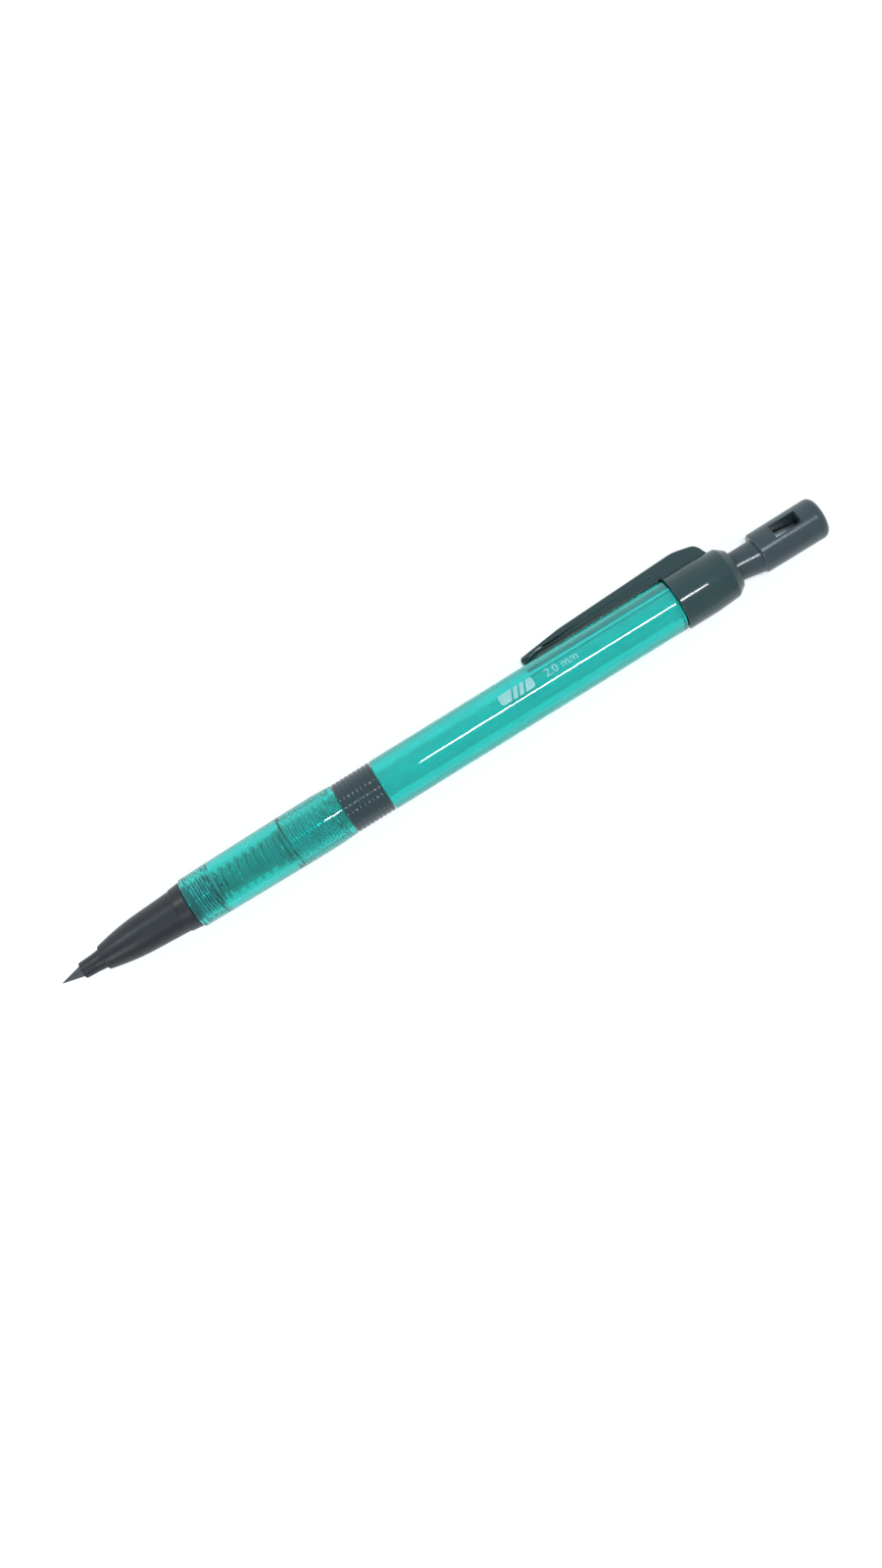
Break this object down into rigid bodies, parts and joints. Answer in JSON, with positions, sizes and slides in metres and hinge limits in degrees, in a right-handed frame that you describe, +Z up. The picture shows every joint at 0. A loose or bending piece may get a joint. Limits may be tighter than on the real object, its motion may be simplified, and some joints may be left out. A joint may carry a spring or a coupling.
{
  "type": "lead holder",
  "caption": "Lead holder with a sprung clutch, translucent screwed body, ribbed ring, pocket clip and a push button that pulls off as a lead sharpener.",
  "frame": {"origin": "on the surface that the holder lies on, under the middle of its bounding box", "axes": "+X along the holder from the point of the lead to the push button, +Z up, the clip on the +Y side and rolled down onto the surface"},
  "size_m": [0.1448, 0.0125, 0.0095],
  "materials": {
    "graphite": "dark grey graphite, slightly shiny where sharpened",
    "black_plastic": "moulded black plastic, semi-gloss",
    "teal_plastic": "translucent teal plastic, polished",
    "clear_plastic": "natural translucent plastic",
    "rubber": "matt black rubber",
    "brass": "turned brass, nickel plated",
    "spring_steel": "drawn spring wire",
    "blade_steel": "ground blade steel"
  },
  "bodies": {
    "holder": {"nose_cone": "black_plastic", "lead_retainer": "rubber", "clutch_ring": "brass", "return_spring": "spring_steel", "grip": "teal_plastic", "grip_ring": "black_plastic", "barrel": "teal_plastic", "clip_cap": "black_plastic"},
    "pusher": {"clutch_jaws": "brass", "spring_seat": "brass", "lead_tube": "clear_plastic"},
    "button": {"push_button": "black_plastic", "sharpener_blade": "blade_steel"},
    "lead": {"lead": "graphite"}
  },
  "joints": [
    {"name": "press", "type": "slide", "parent": "holder", "child": "pusher", "axis": [-1, 0, 0], "range_m": [0, 0.0025], "stiffness_N_per_m": 600, "springref_m": -0.002, "deforming": ["return_spring"]},
    {"name": "button_pull", "type": "slide", "parent": "pusher", "child": "button", "axis": [1, 0, 0], "range_m": [0, 0.012]},
    {"name": "lead_feed", "type": "slide", "parent": "pusher", "child": "lead", "axis": [-1, 0, 0], "range_m": [-0.0039, 0.03]}
  ]
}
